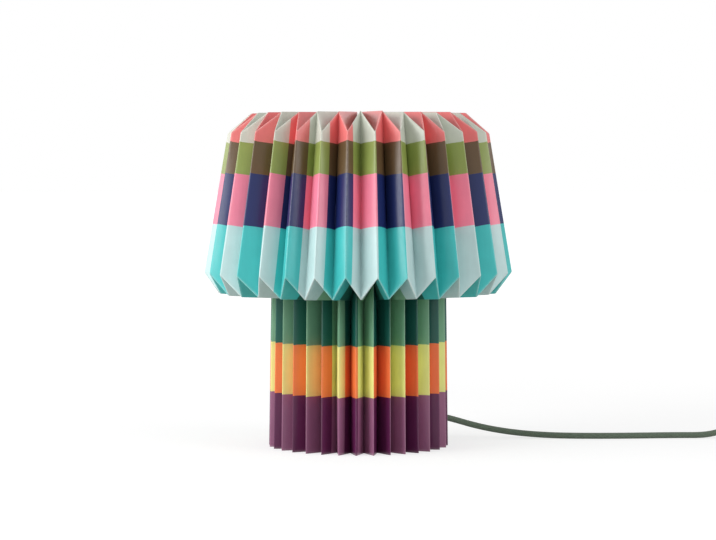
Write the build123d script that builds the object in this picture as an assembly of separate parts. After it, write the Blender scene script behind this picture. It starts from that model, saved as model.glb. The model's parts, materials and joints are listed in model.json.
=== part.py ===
from build123d import *
import math
import os

# A table lamp of pleated printed paper: one folded body, shade and base in one, glued from four sheets, is
# set over a steel stand that carries the lampholder and the bulb. Millimetres and degrees. The origin is on
# the table under the middle of the lamp, +Z is up, and the lamp's front is towards -Y. An azimuth is counted
# from the front, positive towards +X. Fold lines are numbered the same way, two to a pleat.

# ---- The paper body ----
PLEATS = 32
PANEL_WIDTH = 22.3          # from fold to fold, square to the folds
PAPER = 0.4                 # thickness
SHEETS = ("front", "right", "rear", "left")
GLUE = 0.05                 # between two glued sheets
SHADE_TURN = 0.8            # azimuth of the shade's front valley
BASE_TURN = 3.8             # the same of the base, which stands a little twisted
VENT_R = 17.0               # hole in the middle of the closed top
VENT_BEVEL = 5.0            # the lower folds end this much further out
TOP_DIP = 2.5               # the top sinks this much towards its middle
SHADE_TOP_R = 125.5         # ridge of the shade at its top
SHADE_TOP_Z = 301.5
SHADE_RIM_R = 147.0         # ridge of the shade at its lower rim
SHADE_RIM_Z = 168.5
FOLD_DROP = 19.0            # the valley's corner lies this far past the ridge's, up or down
NECK_R = 84.2               # ridge of the base where the shade's underside meets it
NECK_Z = 164.5
NECK_DROP = 20.5
BASE_R = 86.0               # ridge of the base on the table
TIE_R = 26.0                # string through the pleats of the closed top
TIE_WIRE = 0.6
NOTCH_PLEAT = 10            # the valley, counted from the front, that the cord leaves through
NOTCH_WIDTH = 9.0
NOTCH_HEIGHT = 34.0

# ---- The stand ----
WIRE = 1.5                  # radius of the two steel rings' wire
ARM_WIRE = 1.3              # radius of their arms' wire
PAPER_GAP = 0.3             # between the paper and the ring that carries it
DISC_GAP = 0.7              # from the base disc to the folds around it
DISC = 8.0
PAD = 2.0
PAD_EDGE = 2.5              # the disc stands out this far past the pad
STEM_R = 5.0
STEM_WALL = 1.1
STEM_REACH = 11.0           # into the lampholder
THREAD_GAP = 0.1            # around the stem in every hole
NUT_WALL = 2.0              # from the stem to a flat
NUT = 4.0
NUT_ROOM = 0.9              # around the corners of the nut under the disc
COUNTERBORE = 5.0
HUB_R = 24.0
HUB_HEIGHT = 34.0
HUB_WALL = 1.5
HUB_PLATE = 2.0
SPIDER_DROP = 16.0          # from the neck's valley folds down to the neck spider's eye
SPIDER_EYE_WALL = 4.0
SPIDER_EYE = 2.0
SPIDER_GAP = 1.0            # from the spider's ring to the folds around it
ARMS = 4
FIRST_ARM = 45.0            # azimuth
CARRIER_INSET = 1.9         # the carrier's ring is this much smaller than the spider's
CARRIER_BEND = 10.0
COLLAR_EDGE = 3.0           # the carrier's collar stands out this far past the ring nuts
COLLAR = 1.5

# ---- The lampholder ----
HOLDER_GAP = 0.1
HOLDER_WALL = 1.8
SKIRT_R = 19.6
SKIRT = 30.0
SKIRT_LIP = 2.0
HOLDER_STEP = 0.9           # the cap is this much wider than the skirt
BOSS_WALL = 3.0
BOSS = 8.0
DOME = 10.0
DOME_RIM = 10.0
INSERT_GAP = 0.2
INSERT = 10.0
INSERT_LIFT = 6.0           # its top above the cap's rim
SHELL_R = 13.5              # bore of the brass screw shell
SHELL_WALL = 0.4
SHELL = 22.0
CONTACT = 2.0
RING_WALL = 7.4             # shade ring nuts
RING = 4.0
RING_LIFT = 3.0             # above the cap's rim

# ---- The bulb ----
SCREW_GAP = 0.35            # between the bulb's cap and the screw shell
CAP_GROOVE = 0.8
CAP_PITCH = 3.6
CAP_TURNS = 6
TIP = 2.6
HOUSING_FOOT_R = 14.5
HOUSING_R = 25.0
HOUSING = 27.0
GLOBE_R = 30.0
GLOBE_WALL = 1.5

# ---- The mains cord ----
CORD = 3.0                  # radius
LEAD = 2.5                  # radius of the bare lead inside the stem
LEAD_BEND = 12.0
EXIT_Z = 28.0
GLAND_FLATS = 13.0
GLAND = 4.0
GLAND_SHANK = 8.0
GLAND_WALL = 1.5
GLAND_NUT = 2.5
RELIEF = 20.0               # tapered sleeve at each end of a cord
RELIEF_R = 5.0
RELIEF_TIP_R = 3.6
SWITCH_START = (400.0, 56.0, 7.5)      # where the body of the in-line switch begins, on the cord's line
PLUG_AXIS_Z = 7.0

# The cord's free points, between the relief at the hub and the relief of the switch.
LAMP_CORD = [
    (60.5, 29.9, 28.0),
    (84.0, 42.0, 23.2),
    (119.0, 56.0, 11.5),
    (152.0, 58.5, 5.5),
    (187.0, 55.0, 3.0),
    (225.0, 49.5, 3.0),
    (270.0, 51.5, 3.0),
    (315.0, 57.0, 3.0),
    (345.0, 56.3, 3.0),
    (362.0, 56.0, 7.5),
]

# From the relief behind the switch to the coil. The last point is where the coil begins.
RUN_CORD = [
    (498.0, 56.0, 7.5),
    (518.8, 44.0, 3.4),
    (533.8, 18.0, 3.65),
    (533.8, -11.0, 3.65),
]

# ---- The coil of the put-away length ----
COIL_GAP = 0.5              # from turn to turn, and from layer to layer
COIL_OUT_R = 44.0
COIL_TURNS = 6
COIL_CLIMB_TURNS = 0.5      # from the lower layer to the upper one, in the middle of the coil
COIL_TAIL = 30.0            # from the last turn to the plug, on the side away from the lamp
COIL_TAIL_SHIFT = 2.0       # the tail bends this much clear of the turn below it
TIE_BAND = 0.6              # thickness of the band around the coil
TIE_BAND_WIDTH = 8.0
TIE_BAND_GAP = 0.05         # above and below the cord
TIE_BAND_SIDE_GAP = 0.8     # beside it, where the turns curve away

# ---- The in-line switch ----
SWITCH_LENGTH = 58.0
SWITCH_WIDTH = 24.0
SWITCH_HALF = 7.4           # height of each half
SWITCH_WALL = 1.6
ROCKER_LENGTH = 19.0
ROCKER_WIDTH = 11.0
ROCKER_HEIGHT = 6.0
ROCKER_TILT = 7.0
ROCKER_GAP = 1.2            # to the ends of its window
ROCKER_SIDE_GAP = 0.4
PIVOT_R = 1.0
PIVOT_GAP = 0.05
SCREW_R = 1.4
SCREW_HEAD_R = 2.6
SCREW_HEAD = 1.6

# ---- The plug ----
PLUG_LENGTH = 36.0
PLUG_WIDTH = 35.0
PLUG_BACK_WIDTH = 16.0
PLUG_THICKNESS = 13.7
PIN_R = 2.0
PIN = 19.0
PIN_SPACING = 18.6

# ---- Sizes that follow from those above ----
HALF_PLEAT = 180.0 / PLEATS
STEM_HOLE = STEM_R + THREAD_GAP
NUT_FLATS = 2 * (STEM_R + NUT_WALL)
COUNTERBORE_R = NUT_FLATS / math.sqrt(3) + NUT_ROOM
SPIDER_EYE_R = STEM_R + SPIDER_EYE_WALL
HOLDER_R = SKIRT_R + HOLDER_STEP
BOSS_R = STEM_R + BOSS_WALL
INSERT_R = SKIRT_R - HOLDER_WALL - INSERT_GAP
RING_R = SKIRT_R + RING_WALL
COLLAR_R = RING_R + COLLAR_EDGE
CAP_R = SHELL_R - SCREW_GAP
GLAND_SHANK_R = LEAD + GLAND_WALL
COIL_PITCH = 2 * CORD + COIL_GAP
DISC_TOP = PAD + DISC
HUB_TOP = DISC_TOP + HUB_HEIGHT
SPIDER_Z = NECK_Z - NECK_DROP - SPIDER_DROP
SPIDER_TOP = SPIDER_Z + SPIDER_EYE
HOLDER_Z = SPIDER_TOP + NUT
CAP_RIM_Z = HOLDER_Z + BOSS + DOME + DOME_RIM
RING_Z = CAP_RIM_Z + RING_LIFT
INSERT_TOP = CAP_RIM_Z + INSERT_LIFT
BULB_Z = INSERT_TOP + CONTACT
UP = Vector(0, 0, 1)
BOTTOM = (Align.CENTER, Align.CENTER, Align.MIN)

os.makedirs("parts", exist_ok=True)


def save(name, shape):
    """Write one sub-part under its name."""
    export_step(shape, f"parts/{name}.step")


def polar(azimuth, radius, height):
    """A point at an azimuth counted from the lamp's front."""
    angle = math.radians(azimuth)
    return Vector(radius * math.sin(angle), -radius * math.cos(angle), height)


def tube(outer, inner, height, base=0.0):
    """An upright tube on the lamp's axis."""
    return Pos(0, 0, base) * (Cylinder(outer, height, align=BOTTOM) - Cylinder(inner, height, align=BOTTOM))


def disc(radius, height, base=0.0):
    """An upright cylinder on the lamp's axis."""
    return Pos(0, 0, base) * Cylinder(radius, height, align=BOTTOM)


def rod(start, direction, length, radius, tip_radius=None):
    """A round bar, or a cone, from a point along a direction."""
    if tip_radius is None:
        return Plane(origin=start, z_dir=direction) * Cylinder(radius, length, align=BOTTOM)
    return Plane(origin=start, z_dir=direction) * Cone(radius, tip_radius, length, align=BOTTOM)


def hexagon(flats, thickness, bore, base):
    """A hexagon nut on the lamp's axis."""
    body = extrude(RegularPolygon(flats / 2, 6, major_radius=False), thickness)
    return Pos(0, 0, base) * (body - Cylinder(bore, thickness, align=BOTTOM))


def turned(points):
    """A solid of revolution about the lamp's axis from (radius, height) points."""
    outline = Polyline([(r, 0, z) for r, z in points], close=True)
    return revolve(make_face(outline), Axis.Z)


def swept(path, radius):
    """A round wire along a path."""
    return sweep(Plane(origin=path @ 0, z_dir=path % 0) * Circle(radius), path=path)


# ---- Paper ----

def chord_squared(ridge_r, valley_r):
    """Square of the level distance between a ridge and the valley beside it."""
    cosine = math.cos(math.radians(HALF_PLEAT))
    return ridge_r ** 2 + valley_r ** 2 - 2 * ridge_r * valley_r * cosine


def valley_radius(ridge_r):
    """Radius of a valley a panel's width from a ridge, where the panel stands upright."""
    half = math.radians(HALF_PLEAT)
    return ridge_r * math.cos(half) - math.sqrt(PANEL_WIDTH ** 2 - (ridge_r * math.sin(half)) ** 2)


def ridge_profile():
    """(radius, height) of the shade's ridge fold, from the vent down to the table."""
    lower_r = VENT_R + VENT_BEVEL
    rise = math.sqrt(PANEL_WIDTH ** 2 - chord_squared(lower_r, VENT_R))
    return [
        (lower_r, SHADE_TOP_Z + FOLD_DROP - TOP_DIP - rise),
        (SHADE_TOP_R, SHADE_TOP_Z),
        (SHADE_RIM_R, SHADE_RIM_Z),
        (NECK_R, NECK_Z),
        (BASE_R, 0.0),
    ]


def valley_profile():
    """(radius, height) of the shade's valley fold at the same stations."""
    top_r = valley_radius(SHADE_TOP_R)
    rim_r = valley_radius(SHADE_RIM_R)
    flare = (rim_r - top_r) / (SHADE_TOP_Z - SHADE_RIM_Z) * FOLD_DROP
    return [
        (VENT_R, SHADE_TOP_Z + FOLD_DROP - TOP_DIP),
        (top_r - flare, SHADE_TOP_Z + FOLD_DROP),
        (rim_r + flare, SHADE_RIM_Z - FOLD_DROP),
        (valley_radius(NECK_R), NECK_Z - NECK_DROP),
        (valley_radius(BASE_R), 0.0),
    ]


PROFILES = [valley_profile(), ridge_profile()]
STATIONS = 5
NECK_STATION = 3


def fold_azimuth(fold, station):
    """Azimuth of a fold line at a station: even folds are the shade's valleys, odd ones its ridges."""
    turn = SHADE_TURN if station < NECK_STATION else BASE_TURN
    return fold * HALF_PLEAT + turn


def fold_point(fold, station):
    """Point of the sheet's middle surface where a fold line crosses a station."""
    radius, height = PROFILES[fold % 2][station]
    return polar(fold_azimuth(fold, station), radius, height)


def panel_normal(fold, station, zone):
    """Outward direction at a fold point, averaged over the panels on its two sides, in the zone given."""
    here = fold_point(fold, station)
    along = fold_point(fold, zone + 1) - fold_point(fold, zone)
    left = along.cross(here - fold_point(fold - 1, station)).normalized()
    right = along.cross(fold_point(fold + 1, station) - here).normalized()
    return (left + right) * 0.5


def solve_planes(first, second, third, first_gap, second_gap):
    """The shift that lies so far along the first two directions and not at all along the third."""
    volume = first.dot(second.cross(third))
    return (second.cross(third) * first_gap + third.cross(first) * second_gap) * (1 / volume)


def skin_point(fold, station, gap):
    """Fold point of the surface that lies a gap outside the sheet's middle surface."""
    azimuth = fold_azimuth(fold, station)
    across = polar(azimuth + 90, 1, 0)
    if station == 0:
        shift = solve_planes(panel_normal(fold, 0, 0), polar(azimuth, 1, 0), across, gap, 0)
    elif station == STATIONS - 1:
        shift = solve_planes(panel_normal(fold, station, station - 1), UP, across, gap, 0)
    else:
        above = panel_normal(fold, station, station - 1)
        below = panel_normal(fold, station, station)
        shift = solve_planes(above, below, across, gap, gap)
    return fold_point(fold, station) + shift


def triangle(a, b, c):
    """A flat face on three points."""
    return Face(Wire.make_polygon([a, b, c], close=True))


def folded_sheet(first_fold, last_fold, first_station, inner_gap, outer_gap):
    """A folded sheet as one closed solid, between two fold lines and from a station to the table."""
    folds = range(first_fold, last_fold + 1)
    stations = range(first_station, STATIONS)
    skins = [{(f, s): skin_point(f, s, gap) for f in folds for s in stations} for gap in (inner_gap, outer_gap)]
    faces = []

    def patch(a, b, c, d):
        faces.append(triangle(a, b, c))
        faces.append(triangle(a, c, d))

    for skin in skins:
        for f in folds[:-1]:
            for s in stations[:-1]:
                patch(skin[f, s], skin[f + 1, s], skin[f + 1, s + 1], skin[f, s + 1])
    inner, outer = skins
    for f in folds[:-1]:
        for s in (stations[0], stations[-1]):
            patch(inner[f, s], inner[f + 1, s], outer[f + 1, s], outer[f, s])
    for s in stations[:-1]:
        for f in (folds[0], folds[-1]):
            patch(inner[f, s], inner[f, s + 1], outer[f, s + 1], outer[f, s])
    return Solid(Shell(faces))


EXIT_AZIMUTH = 2 * NOTCH_PLEAT * HALF_PLEAT + BASE_TURN
EXIT = polar(EXIT_AZIMUTH, 1, 0)


SKIN = PAPER / 2
STRIP_OUT = -SKIN - GLUE
STRIP_IN = STRIP_OUT - PAPER


def inner_radius(station):
    """Radius that is free inside the valley folds and the strips behind them."""
    point = skin_point(0, station, STRIP_IN)
    return math.hypot(point.X, point.Y)


def notch_cutter():
    """The opening in the base's lower edge that the cord leaves through."""
    reach = BASE_R - valley_radius(BASE_R)
    middle = polar(EXIT_AZIMUTH, valley_radius(BASE_R) + reach / 2, 0)
    return Plane(origin=middle, x_dir=EXIT, z_dir=UP) * Box(2 * reach, NOTCH_WIDTH, 2 * NOTCH_HEIGHT)


def paper_parts():
    """Sheets that meet in valleys, strips behind the seams, and the string that draws the top together."""
    width = 2 * PLEATS // len(SHEETS)
    seams = []
    for count, name in enumerate(SHEETS):
        first = width * count - width // 2
        sheet = folded_sheet(first, first + width, 0, -SKIN, SKIN)
        if first < 2 * NOTCH_PLEAT < first + width:
            sheet = sheet - notch_cutter()
        save(f"paper_{name}", sheet)
        seams.append(folded_sheet(first - 1, first + 1, 1, STRIP_IN, STRIP_OUT))
    save("seam_strips", Compound(children=seams))
    ridge, valley = ridge_profile()[0], valley_profile()[0]
    save("top_string", Pos(0, 0, (ridge[1] + valley[1]) / 2) * Torus(TIE_R, TIE_WIRE))


# ---- Stand ----

DISC_R = inner_radius(STATIONS - 1) - DISC_GAP
PAD_R = DISC_R - PAD_EDGE
SPIDER_RING_R = inner_radius(NECK_STATION) - SPIDER_GAP - WIRE
CARRIER_R = SPIDER_RING_R - CARRIER_INSET


def carrier_height():
    """Height of the carrier ring's middle, so that its top lies just under the lowest folds."""
    vent, rim = skin_point(1, 0, -SKIN), skin_point(1, 1, -SKIN)
    vent_r, rim_r = math.hypot(vent.X, vent.Y), math.hypot(rim.X, rim.Y)
    share = (CARRIER_R - WIRE - vent_r) / (rim_r - vent_r)
    return vent.Z + share * (rim.Z - vent.Z) - PAPER_GAP - WIRE


def stand_parts():
    """Base pad and disc, stem, hub, nuts, and the wire spider in the neck."""
    save("base_pad", tube(PAD_R, COUNTERBORE_R, PAD))
    base = tube(DISC_R, STEM_HOLE, DISC, PAD) - disc(COUNTERBORE_R, COUNTERBORE, PAD)
    top_edges = base.edges().filter_by(GeomType.CIRCLE).group_by(Axis.Z)[-1]
    save("base_disc", fillet(top_edges.sort_by(SortBy.RADIUS)[-1], 1.0))
    nut_below = PAD + COUNTERBORE - NUT
    stem = tube(STEM_R, STEM_R - STEM_WALL, HOLDER_Z + STEM_REACH - nut_below, nut_below)
    slot_low = EXIT_Z - LEAD - 1
    slot_high = EXIT_Z + LEAD_BEND + 1
    slot = Box(2 * STEM_R, 2 * LEAD + 1, slot_high - slot_low, align=(Align.MIN, Align.CENTER, Align.MIN))
    stem = stem - Plane(origin=UP * slot_low, x_dir=EXIT, z_dir=UP) * slot
    save("stem_tube", stem)
    nut_heights = (nut_below, HUB_TOP, SPIDER_Z - NUT, SPIDER_TOP)
    save("stem_nuts", Compound(children=[hexagon(NUT_FLATS, NUT, STEM_HOLE, z) for z in nut_heights]))

    hub = disc(HUB_R, HUB_HEIGHT, DISC_TOP) - disc(HUB_R - HUB_WALL, HUB_HEIGHT - HUB_PLATE, DISC_TOP)
    hub = hub - disc(STEM_HOLE, HUB_HEIGHT, DISC_TOP)
    hub = hub - rod(UP * EXIT_Z, EXIT, HUB_R + 1, GLAND_SHANK_R + THREAD_GAP)
    save("hub_cup", hub)

    middle = SPIDER_Z + SPIDER_EYE / 2
    spider = Pos(0, 0, middle) * Torus(SPIDER_RING_R, WIRE)
    for arm in range(ARMS):
        azimuth = FIRST_ARM + 360 * arm / ARMS
        start = polar(azimuth, SPIDER_EYE_R - ARM_WIRE, middle)
        length = SPIDER_RING_R - SPIDER_EYE_R + ARM_WIRE
        spider = spider + rod(start, polar(azimuth, 1, 0), length, ARM_WIRE)
    for nut_z in (SPIDER_Z - NUT, SPIDER_TOP):
        spider = spider - disc(SPIDER_EYE_R, NUT, nut_z)
    spider = spider - disc(SPIDER_EYE_R, SPIDER_EYE, SPIDER_Z)
    save("neck_spider", spider + tube(SPIDER_EYE_R, STEM_HOLE, SPIDER_EYE, SPIDER_Z))


def carrier():
    """Collar on the lampholder with bent wire arms, and the ring that they hold under the paper's top."""
    collar_z = RING_Z + RING
    middle = collar_z + COLLAR / 2
    top = carrier_height()
    ring = Pos(0, 0, top) * Torus(CARRIER_R, WIRE)
    save("carrier_ring", ring)
    frame = tube(COLLAR_R, SKIRT_R + HOLDER_GAP, COLLAR, collar_z)
    for arm in range(ARMS):
        azimuth = FIRST_ARM + 360 * arm / ARMS
        corners = [polar(azimuth, COLLAR_R - ARM_WIRE, middle), polar(azimuth, CARRIER_R, middle),
                   polar(azimuth, CARRIER_R, top)]
        frame = frame + swept(FilletPolyline(corners, radius=CARRIER_BEND), ARM_WIRE)
    save("shade_carrier", frame - ring)


# ---- Lampholder and bulb ----

def holder_parts():
    """Cap with a threaded boss, skirt, insert, screw shell, centre contact and two ring nuts."""
    boss_top = HOLDER_Z + BOSS
    cap = turned([
        (STEM_HOLE, HOLDER_Z), (BOSS_R, HOLDER_Z), (BOSS_R, boss_top), (HOLDER_R, boss_top + DOME),
        (HOLDER_R, CAP_RIM_Z), (HOLDER_R - HOLDER_WALL, CAP_RIM_Z),
        (HOLDER_R - HOLDER_WALL, boss_top + DOME + HOLDER_WALL), (BOSS_R, boss_top + 2 * HOLDER_WALL),
        (STEM_HOLE, boss_top + 2 * HOLDER_WALL),
    ])
    save("holder_cap", cap)
    skirt = tube(SKIRT_R, SKIRT_R - HOLDER_WALL, SKIRT, CAP_RIM_Z)
    save("holder_skirt", skirt + tube(HOLDER_R, SKIRT_R - HOLDER_WALL, SKIRT_LIP, CAP_RIM_Z))
    save("holder_insert", disc(INSERT_R, INSERT, INSERT_TOP - INSERT))
    save("screw_shell", tube(SHELL_R + SHELL_WALL, SHELL_R, SHELL, INSERT_TOP))
    contact = Box(9, 4, CONTACT, align=BOTTOM)
    save("centre_contact", Pos(0, 0, INSERT_TOP) * contact)
    rings = [tube(RING_R, SKIRT_R + HOLDER_GAP, RING, z) for z in (RING_Z, RING_Z + RING + COLLAR)]
    save("shade_rings", Compound(children=rings))


def bulb_parts():
    """Tip contact, screw cap, housing and globe."""
    cap_z = BULB_Z + TIP
    cap_top = cap_z + CAP_TURNS * CAP_PITCH
    save("bulb_tip", turned([(0, BULB_Z), (4, BULB_Z), (5, BULB_Z + 1), (CAP_R - CAP_GROOVE, cap_z), (0, cap_z)]))
    thread = [(0, cap_z)]
    for turn in range(CAP_TURNS):
        thread.append((CAP_R - CAP_GROOVE, cap_z + turn * CAP_PITCH))
        thread.append((CAP_R, cap_z + (turn + 0.5) * CAP_PITCH))
    thread += [(CAP_R - CAP_GROOVE, cap_top), (0, cap_top)]
    save("bulb_cap", turned(thread))
    housing_top = cap_top + HOUSING
    save("bulb_housing", turned([
        (0, cap_top), (HOUSING_FOOT_R, cap_top), (HOUSING_FOOT_R, cap_top + 3), (HOUSING_R, housing_top),
        (0, housing_top),
    ]))
    centre = Pos(0, 0, housing_top + math.sqrt(GLOBE_R ** 2 - HOUSING_R ** 2))
    globe = centre * (Sphere(GLOBE_R) - Sphere(GLOBE_R - GLOBE_WALL))
    save("bulb_globe", globe - disc(GLOBE_R, GLOBE_R, housing_top - GLOBE_R))


# ---- Mains cord ----

def cord_exit_parts():
    """Gland through the hub's wall, its nut, the tapered relief, and the lead up the stem."""
    plane = Plane(origin=UP * EXIT_Z + EXIT * HUB_R, x_dir=UP, z_dir=EXIT)
    bore = Cylinder(LEAD + THREAD_GAP, 60)
    flange = extrude(RegularPolygon(GLAND_FLATS / 2, 6, major_radius=False), GLAND)
    shank = Cylinder(GLAND_SHANK_R, GLAND_SHANK, align=(Align.CENTER, Align.CENTER, Align.MAX))
    save("cord_gland", plane * (flange + shank - bore))
    nut = extrude(RegularPolygon(GLAND_FLATS / 2, 6, major_radius=False), GLAND_NUT)
    nut = nut - Cylinder(GLAND_SHANK_R + THREAD_GAP, 3 * GLAND_NUT)
    nut_seat = HUB_R - math.sqrt((HUB_R - HUB_WALL) ** 2 - (GLAND_FLATS / 2) ** 2 * 4 / 3)
    save("gland_nut", plane * Pos(0, 0, -nut_seat - GLAND_NUT) * nut)
    start = UP * EXIT_Z + EXIT * (HUB_R + GLAND)
    save("cord_relief", rod(start, EXIT, RELIEF, RELIEF_R, RELIEF_TIP_R))
    lead = FilletPolyline([start, UP * EXIT_Z, UP * (INSERT_TOP - INSERT)], radius=LEAD_BEND)
    save("internal_lead", swept(lead, LEAD))


def corner_radii(points):
    """The largest arc that each corner of a free cord has room for."""
    radii = []
    for before, here, after in zip(points, points[1:], points[2:]):
        turn = (here - before).get_angle(after - here)
        shorter = min((here - before).length, (after - here).length)
        radii.append(0.45 * shorter / math.tan(math.radians(turn / 2)))
    return radii


def free_cord(name, points):
    """A free stretch of cord: straight runs joined by tangent arcs."""
    radii = corner_radii(points)
    path = FilletPolyline(points, radius=radii)
    body = swept(path, CORD)
    print(name, "length", round(path.length, 1), "radii", [round(r) for r in radii])
    print(name, "volume over section times length", round(body.volume / (math.pi * CORD ** 2 * path.length), 4))
    save(name, body)


COIL_START = Vector(*RUN_CORD[-1])
COIL_CENTRE = COIL_START - Vector(COIL_OUT_R, 0, 0)


def coil_point(turns):
    """A point of the coil: in on the lower layer, up a layer, and out again, clockwise from above."""
    radius = COIL_OUT_R - COIL_PITCH * min(turns, COIL_TURNS - turns)
    climbed = min(max(0.0, (turns - COIL_TURNS / 2) / COIL_CLIMB_TURNS + 0.5), 1.0)
    angle = -2 * math.pi * turns
    return COIL_CENTRE + Vector(radius * math.cos(angle), radius * math.sin(angle), COIL_PITCH * climbed)


def coil_heading(turns):
    """Direction of the cord at a point of the coil."""
    return (coil_point(turns + 0.06) - coil_point(turns - 0.06)).normalized()


def biarc(start, heading, end, end_heading):
    """Two arcs that join two points with the headings given."""
    span = end - start
    slope = span.dot(heading + end_heading)
    bend = 2 * (1 - heading.dot(end_heading))
    reach = (math.sqrt(slope ** 2 + bend * span.dot(span)) - slope) / bend
    joint = (start + heading * reach + end - end_heading * reach) * 0.5
    first = TangentArc(start, joint, tangent=heading)
    return [first, TangentArc(joint, end, tangent=first % 1)]


def coil_parts():
    """The coil in one unbroken tube with a short tail, and the band that ties it."""
    quarters = round(COIL_TURNS * 4)
    points = [coil_point(q / 4) for q in range(quarters + 1)]
    headings = [coil_heading(q / 4) for q in range(quarters + 1)]
    headings[0] = Vector(0, -1, 0)
    away = Vector(0, -1, 0)
    tail = Vector(points[-1].X + COIL_TAIL_SHIFT, points[-1].Y - COIL_TAIL, PLUG_AXIS_Z)
    points.append(tail)
    headings.append(away)
    edges = []
    for i in range(len(points) - 1):
        edges += biarc(points[i], headings[i], points[i + 1], headings[i + 1])
    end = tail + away * 2 * CORD
    edges.append(Line(tail, end))
    path = Wire(edges)
    coil = swept(path, CORD)
    save("cord_coil", coil)

    samples = [coil_point(i / 48) for i in range(int(COIL_TURNS * 48) + 1)]
    gap = min((a - b).length for i, a in enumerate(samples) for b in samples[i + 36:]) - 2 * CORD
    print("cord_coil length", round(path.length, 1), "least gap to itself", round(gap, 2))
    print("cord_coil volume over section times length",
          round(coil.volume / (math.pi * CORD ** 2 * path.length), 4))

    far_side = [coil_point(whole + 0.5) for whole in range(int(COIL_TURNS))]
    reach = [COIL_CENTRE.X - point.X for point in far_side]
    inner_r, outer_r = min(reach), max(reach)
    length = outer_r - inner_r + 2 * (CORD + TIE_BAND_SIDE_GAP)
    height = COIL_PITCH + 2 * (CORD + TIE_BAND_GAP)
    centre = COIL_CENTRE + Vector(-(inner_r + outer_r) / 2, 0, COIL_PITCH / 2)
    opening = Box(length, 2 * TIE_BAND_WIDTH, height)
    band = Box(length + 2 * TIE_BAND, TIE_BAND_WIDTH, height + 2 * TIE_BAND)
    save("coil_tie", Pos(*centre) * (band - opening))
    return end, away


def plug_parts(start, direction):
    """Tapered relief, flat moulded body and two round pins, lying flat on the table."""
    save("plug_relief", rod(start, direction, RELIEF, RELIEF_TIP_R, RELIEF_R))
    back = start + direction * RELIEF
    across = UP.cross(direction)
    plane = Plane(origin=back, x_dir=across, z_dir=direction)
    rear = plane * RectangleRounded(PLUG_BACK_WIDTH, PLUG_THICKNESS, PLUG_THICKNESS / 3)
    shoulder = plane.offset(PLUG_LENGTH * 0.6) * RectangleRounded(PLUG_WIDTH, PLUG_THICKNESS, PLUG_THICKNESS / 3)
    face = plane.offset(PLUG_LENGTH) * RectangleRounded(PLUG_WIDTH, PLUG_THICKNESS, PLUG_THICKNESS / 3)
    save("plug_body", loft([rear, shoulder, face], ruled=True))
    pins = []
    for side in (-1, 1):
        foot = back + direction * PLUG_LENGTH + across * side * PIN_SPACING / 2
        pin = rod(foot, direction, PIN, PIN_R)
        pins.append(fillet(pin.edges().sort_by(Axis(foot, direction))[-1], PIN_R * 0.6))
    save("plug_pins", Compound(children=pins))


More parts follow.
